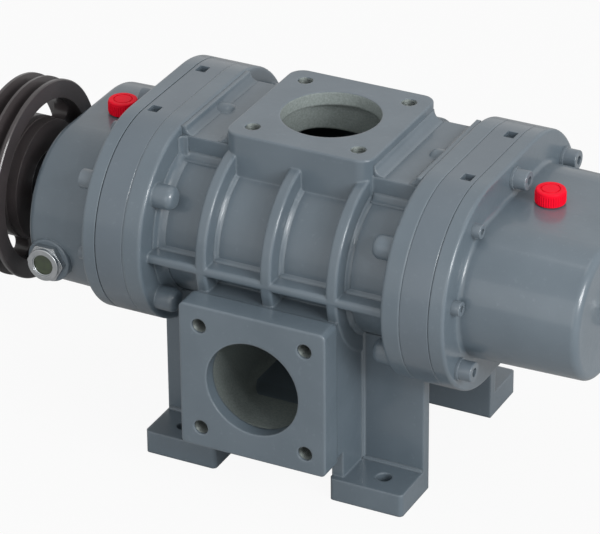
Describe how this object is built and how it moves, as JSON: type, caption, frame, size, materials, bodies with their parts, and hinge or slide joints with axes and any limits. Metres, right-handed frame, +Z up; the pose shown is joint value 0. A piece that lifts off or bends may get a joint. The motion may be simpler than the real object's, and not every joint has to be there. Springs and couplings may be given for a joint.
{
  "type": "roots vacuum pump",
  "caption": "Belt-driven roots vacuum pump: ribbed casing with lobed rotors, square inlet flange on top, square outlet flange in front, oil covers at both ends and a grooved pulley.",
  "frame": {"origin": "on the floor plane, midway between the foot holes", "axes": "+X along the shafts from the belt pulley to the gear cover, -Y out of the outlet flange, +Z up out of the inlet flange"},
  "size_m": [0.599, 0.302, 0.313],
  "materials": {
    "bearing_steel": "ground and polished",
    "bright_steel": "turned",
    "bush_steel": "phosphated, dark",
    "casing_paint": "semi-gloss paint over a cast surface",
    "cover_paint": "semi-gloss paint over a cast surface",
    "gasket": "compressed gasket paper, oiled dark",
    "gear_steel": "ground teeth",
    "glass_fitting": "turned and satin",
    "oil_glass": "clear lens with dark oil behind it",
    "painted_screws": "painted over with the casing",
    "plate_paint": "semi-gloss paint over a machined face",
    "pulley_black": "satin black",
    "red_plastic": "ridged moulded plastic",
    "rotor_iron": "machined, faintly oiled",
    "seal_rubber": "matt black"
  },
  "bodies": {
    "housing": {"casing": "casing_paint", "drive_gear_bearing_outer_ring": "bearing_steel", "drive_gear_bearing_retainer": "bearing_steel", "drive_gear_chamber_seal": "seal_rubber", "drive_pulley_bearing_outer_ring": "bearing_steel", "drive_pulley_bearing_retainer": "bearing_steel", "drive_pulley_chamber_seal": "seal_rubber", "driven_gear_bearing_outer_ring": "bearing_steel", "driven_gear_bearing_retainer": "bearing_steel", "driven_gear_chamber_seal": "seal_rubber", "driven_pulley_bearing_outer_ring": "bearing_steel", "driven_pulley_bearing_retainer": "bearing_steel", "driven_pulley_chamber_seal": "seal_rubber", "end_sight_glass_fitting": "glass_fitting", "end_sight_glass_lens": "oil_glass", "front_sight_glass_fitting": "glass_fitting", "front_sight_glass_lens": "oil_glass", "gear_cover": "cover_paint", "gear_cover_gasket": "gasket", "gear_cover_large_screws": "painted_screws", "gear_cover_small_screws": "painted_screws", "gear_plate_screws": "bright_steel", "gear_retainer_screws": "bright_steel", "gear_side_plate": "plate_paint", "oil_drain_plugs": "painted_screws", "pulley_cover_gasket": "gasket", "pulley_cover_large_screws": "painted_screws", "pulley_cover_small_screws": "painted_screws", "pulley_end_cover": "cover_paint", "pulley_plate_screws": "bright_steel", "pulley_retainer_screws": "bright_steel", "pulley_side_plate": "plate_paint", "shaft_lip_seal": "seal_rubber"},
    "drive_train": {"belt_pulley": "pulley_black", "drive_bearing_balls": "bearing_steel", "drive_gear_bearing_inner_ring": "bearing_steel", "drive_pulley_bearing_inner_ring": "bearing_steel", "drive_rotor": "rotor_iron", "drive_shaft": "bright_steel", "drive_shaft_locknuts": "bright_steel", "drive_timing_gear": "gear_steel", "pulley_bush_screws": "bright_steel", "pulley_key": "bright_steel", "pulley_taper_bush": "bush_steel"},
    "driven_train": {"driven_bearing_balls": "bearing_steel", "driven_gear_bearing_inner_ring": "bearing_steel", "driven_pulley_bearing_inner_ring": "bearing_steel", "driven_rotor": "rotor_iron", "driven_shaft": "bright_steel", "driven_shaft_locknuts": "bright_steel", "driven_timing_gear": "gear_steel", "oil_slinger": "bright_steel"},
    "gear_filler_cap": {"gear_filler_cap": "red_plastic"},
    "pulley_filler_cap": {"pulley_filler_cap": "red_plastic"}
  },
  "joints": [
    {"name": "drive_rotor_spin", "type": "hinge", "parent": "housing", "child": "drive_train", "pos_m": [0, -0.045, 0.21], "axis": [1, 0, 0], "continuous": true},
    {"name": "driven_rotor_spin", "type": "hinge", "parent": "housing", "child": "driven_train", "pos_m": [0, 0.045, 0.21], "axis": [1, 0, 0], "continuous": true},
    {"name": "gear_filler_cap_lift", "type": "slide", "parent": "housing", "child": "gear_filler_cap", "axis": [0, 0, 1], "range_m": [0, 0.04]},
    {"name": "pulley_filler_cap_lift", "type": "slide", "parent": "housing", "child": "pulley_filler_cap", "axis": [0, 0, 1], "range_m": [0, 0.04]}
  ],
  "couplings": [
    {"joint": "driven_rotor_spin", "follows": "drive_rotor_spin", "ratio": -1}
  ]
}
